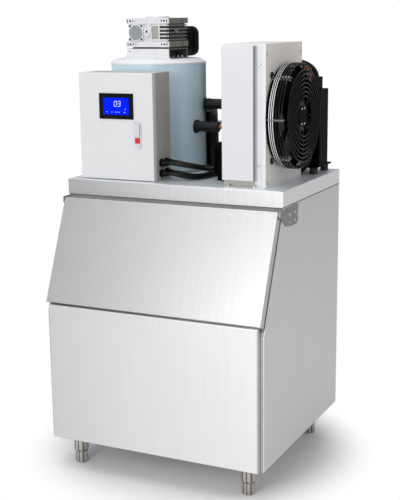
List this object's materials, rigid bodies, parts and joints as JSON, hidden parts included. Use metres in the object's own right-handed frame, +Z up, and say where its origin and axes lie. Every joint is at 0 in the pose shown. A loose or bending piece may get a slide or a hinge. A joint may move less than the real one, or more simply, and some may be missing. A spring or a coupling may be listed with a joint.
{
  "type": "flake ice machine",
  "caption": "Free-standing flake ice machine: insulated steel bin with a sloping lid, and an ice drum with gear motor, control box, fan condenser and compressor on its deck.",
  "frame": {"origin": "on the floor under the middle of the bin", "axes": "+Z up, the lid and control box face -Y, the condenser is at +X"},
  "size_m": [0.751, 0.68, 1.427],
  "materials": {
    "stainless_sheet": "fine vertical brushed grain",
    "leg_steel": "turned satin",
    "inner_steel": "machined",
    "bracket_steel": "dull grey",
    "zinc": "bright zinc",
    "white_liner": "moulded white",
    "grey_frame": "satin grey",
    "foam": "rigid foam",
    "dark_rubber": "matte",
    "blue_paint": "pale blue satin",
    "white_paint": "white powder coat",
    "casing_paint": "warm light grey",
    "door_paint": "fine texture powder coat",
    "box_grey": "fine texture powder coat",
    "cast_aluminium": "die cast",
    "fin_aluminium": "thin fins",
    "grey_cap": "grey",
    "black_paint": "black satin",
    "black_plastic": "black",
    "blue_screen": "lit blue display",
    "latch_grey": "pale grey",
    "red_plastic": "red",
    "cable_rubber": "smooth sheath",
    "guard_wire": "coated wire",
    "copper": "drawn copper tube",
    "pipe_foam": "closed-cell foam sleeve",
    "pump_plastic": "blue",
    "pipe_plastic": "milky pipe"
  },
  "bodies": {
    "cabinet": {"side_panel_left": "stainless_sheet", "side_panel_right": "stainless_sheet", "front_panel": "stainless_sheet", "back_panel": "stainless_sheet", "floor_panel": "stainless_sheet", "bin_liner": "white_liner", "bin_foam": "foam", "mouth_frame": "grey_frame", "deck": "stainless_sheet", "deck_foam": "foam", "drop_chute": "white_liner", "leg_tubes": "leg_steel", "hinge_brackets": "bracket_steel", "panel_screws": "zinc", "evaporator_jacket": "blue_paint", "evaporator_cylinder": "inner_steel", "drum_cap": "white_paint", "drum_base": "inner_steel", "shaft_bearings": "inner_steel", "gearbox_housing": "cast_aluminium", "gearbox_cap": "grey_cap", "gearbox_adaptor": "cast_aluminium", "drive_motor": "black_paint", "motor_cowl": "black_paint", "control_box": "box_grey", "door_hinges": "zinc", "switchgear": "black_plastic", "cable_glands": "black_plastic", "control_cables": "cable_rubber", "condenser_casing": "casing_paint", "front_cover": "white_paint", "condenser_coil": "fin_aluminium", "fan_guard": "guard_wire", "fan_motor": "black_paint", "compressor": "black_paint", "compressor_grommets": "dark_rubber", "receiver": "black_paint", "copper_pipes": "copper", "insulated_pipes": "pipe_foam", "water_tank": "white_liner", "water_pump": "pump_plastic", "water_pipe": "pipe_plastic"},
    "lid": {"lid_skin": "stainless_sheet", "lid_foam": "foam", "lid_liner": "white_liner", "lid_gasket": "dark_rubber"},
    "door": {"control_door": "door_paint", "screen_bezel": "black_plastic", "screen_lcd": "blue_screen", "latch_plate": "latch_grey"},
    "latch": {"latch_handle": "latch_grey"},
    "button": {"latch_button": "red_plastic"},
    "scraper": {"main_shaft": "inner_steel", "ice_blade": "inner_steel", "water_pan": "inner_steel"},
    "fan": {"fan_rotor": "black_paint"},
    "foot_fl": {"foot_front_left": "leg_steel"},
    "foot_fr": {"foot_front_right": "leg_steel"},
    "foot_bl": {"foot_back_left": "leg_steel"},
    "foot_br": {"foot_back_right": "leg_steel"}
  },
  "joints": [
    {"name": "lid_hinge", "type": "hinge", "parent": "cabinet", "child": "lid", "pos_m": [0, -0.19968, 0.85463], "axis": [-1, 0, 0], "range_deg": [0, 100]},
    {"name": "door_hinge", "type": "hinge", "parent": "cabinet", "child": "door", "pos_m": [-0.329, -0.141, 1.09], "axis": [0, 0, -1], "range_deg": [0, 110]},
    {"name": "latch_flip", "type": "hinge", "parent": "door", "child": "latch", "pos_m": [-0.124, -0.1539, 1.101], "axis": [-1, 0, 0], "range_deg": [0, 60]},
    {"name": "button_push", "type": "slide", "parent": "door", "child": "button", "axis": [0, 1, 0], "range_m": [0, 0.003], "stiffness_N_per_m": 400},
    {"name": "scraper_turn", "type": "hinge", "parent": "cabinet", "child": "scraper", "pos_m": [-0.204, 0.146, 1.1], "axis": [0, 0, 1], "continuous": true},
    {"name": "fan_spin", "type": "hinge", "parent": "cabinet", "child": "fan", "pos_m": [0.33, 0.015, 1.125], "axis": [1, 0, 0], "continuous": true},
    {"name": "foot_fl_turn", "type": "hinge", "parent": "cabinet", "child": "foot_fl", "pos_m": [-0.298, -0.27, 0.04], "axis": [0, 0, 1], "continuous": true},
    {"name": "foot_fr_turn", "type": "hinge", "parent": "cabinet", "child": "foot_fr", "pos_m": [0.298, -0.27, 0.04], "axis": [0, 0, 1], "continuous": true},
    {"name": "foot_bl_turn", "type": "hinge", "parent": "cabinet", "child": "foot_bl", "pos_m": [-0.298, 0.27, 0.04], "axis": [0, 0, 1], "continuous": true},
    {"name": "foot_br_turn", "type": "hinge", "parent": "cabinet", "child": "foot_br", "pos_m": [0.298, 0.27, 0.04], "axis": [0, 0, 1], "continuous": true}
  ]
}
